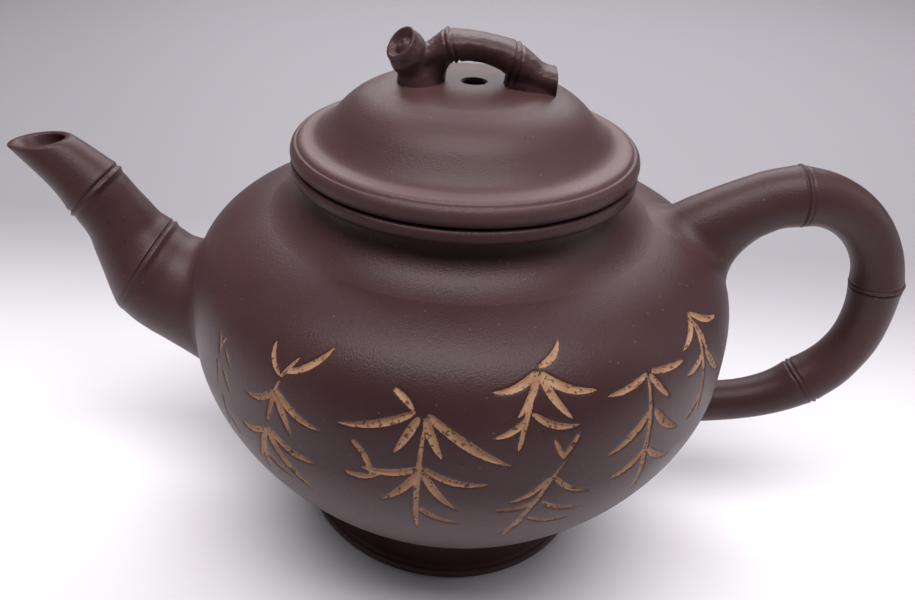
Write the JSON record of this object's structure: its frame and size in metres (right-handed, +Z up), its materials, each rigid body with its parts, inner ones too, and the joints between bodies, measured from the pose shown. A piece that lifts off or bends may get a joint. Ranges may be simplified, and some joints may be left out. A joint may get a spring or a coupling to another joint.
{
  "type": "clay teapot",
  "caption": "Round unglazed clay teapot with a bamboo-shaped spout, loop handle and bridged knob on a lift-off domed lid.",
  "frame": {"origin": "on the plane the foot stands on, midway between the spout's tip and the back of the handle", "axes": "+Z up along the pot's turning axis, +X towards the handle, -X towards the spout, -Y towards the decorated side"},
  "size_m": [0.1812, 0.108, 0.1068],
  "materials": {
    "purple_clay": "unglazed fine clay with a soft sheen"
  },
  "bodies": {
    "pot": {"belly_wall": "purple_clay", "base_disc": "purple_clay", "foot_ring": "purple_clay", "neck_collar": "purple_clay", "mouth_ring": "purple_clay", "spout": "purple_clay", "handle": "purple_clay"},
    "lid": {"lid_dome": "purple_clay", "lid_tongue": "purple_clay", "knob_stump": "purple_clay", "knob_branch": "purple_clay"}
  },
  "joints": [
    {"name": "lid_lift", "type": "slide", "parent": "pot", "child": "lid", "axis": [0, 0, 1], "range_m": [0, 0.06]}
  ]
}
